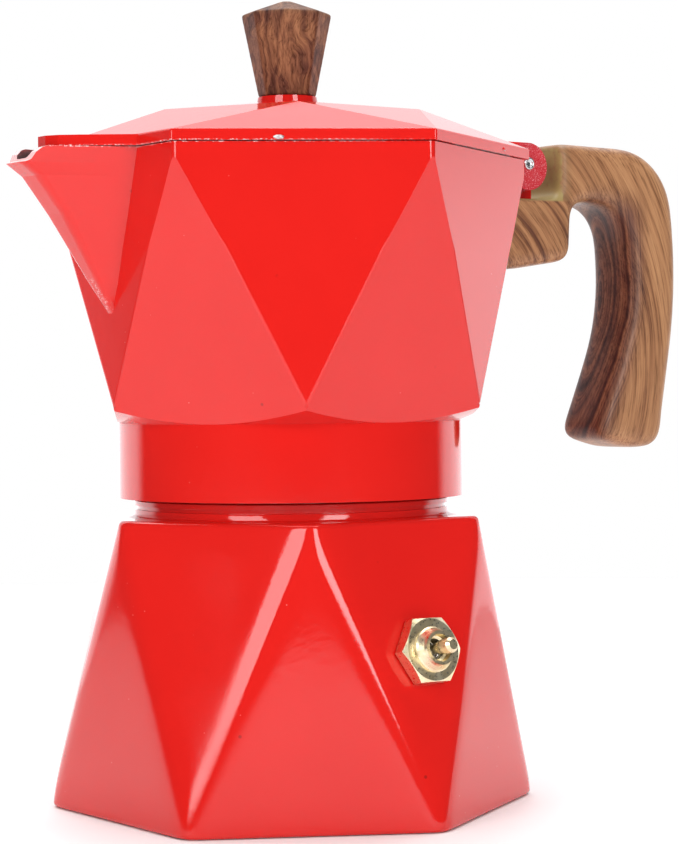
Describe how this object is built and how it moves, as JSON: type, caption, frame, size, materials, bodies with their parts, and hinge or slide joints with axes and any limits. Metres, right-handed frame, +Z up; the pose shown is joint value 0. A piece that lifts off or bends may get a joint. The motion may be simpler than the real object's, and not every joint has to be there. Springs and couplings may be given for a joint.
{
  "type": "moka pot",
  "caption": "Stove-top moka pot with a faceted hexagonal boiler and collector, spout, hinged lid, octagonal knob and hooked handle.",
  "frame": {"origin": "centre of the boiler's flat bottom", "axes": "+Z up along the pot's axis, +X towards the handle, -X towards the spout"},
  "size_m": [0.1617, 0.0992, 0.1602],
  "materials": {
    "red_enamel": "gloss",
    "bare_aluminium": "satin",
    "brass": "polished",
    "steel": "satin",
    "silicone": "matte",
    "wood_look": "wood-grain print on moulded plastic"
  },
  "bodies": {
    "boiler": {"boiler": "red_enamel", "valve_body": "brass", "valve_washer": "silicone", "valve_seat": "brass"},
    "relief_pin": {"valve_pin": "brass", "valve_seal": "silicone", "valve_spring": "steel"},
    "funnel": {"funnel_basket": "bare_aluminium", "funnel_strainer": "bare_aluminium"},
    "filter": {"filter_gasket": "silicone", "filter_plate": "bare_aluminium"},
    "collector": {"collector_base": "red_enamel", "collector": "red_enamel", "coffee_column": "bare_aluminium", "column_cap": "bare_aluminium", "handle": "wood_look", "handle_screw": "steel", "hinge_pin": "steel"},
    "lid": {"lid": "red_enamel", "lid_knob": "wood_look", "knob_insert": "brass", "knob_washer": "steel", "knob_screw": "steel"}
  },
  "joints": [
    {"name": "relief_pin_slide", "type": "slide", "parent": "boiler", "child": "relief_pin", "axis": [0.0204, -0.9717, 0.2352], "range_m": [0, 0.0015], "stiffness_N_per_m": 1500, "springref_m": -0.003, "deforming": ["valve_spring"]},
    {"name": "funnel_lift", "type": "slide", "parent": "boiler", "child": "funnel", "axis": [0, 0, 1], "range_m": [0, 0.00301]},
    {"name": "collector_rise", "type": "slide", "parent": "boiler", "child": "filter", "axis": [0, 0, 1], "range_m": [0, 0.00601]},
    {"name": "collector_turn", "type": "hinge", "parent": "filter", "child": "collector", "pos_m": [0, 0, 0], "axis": [0, 0, 1], "range_deg": [0, 720]},
    {"name": "lid_hinge", "type": "hinge", "parent": "collector", "child": "lid", "pos_m": [0.0567, 0, 0.1297], "axis": [0, 1, 0], "range_deg": [0, 105]}
  ],
  "couplings": [
    {"joint": "collector_rise", "follows": "collector_turn", "m_per_rad": 0.00047746},
    {"joint": "funnel_lift", "follows": "collector_turn", "m_per_rad": 0.00023873}
  ]
}
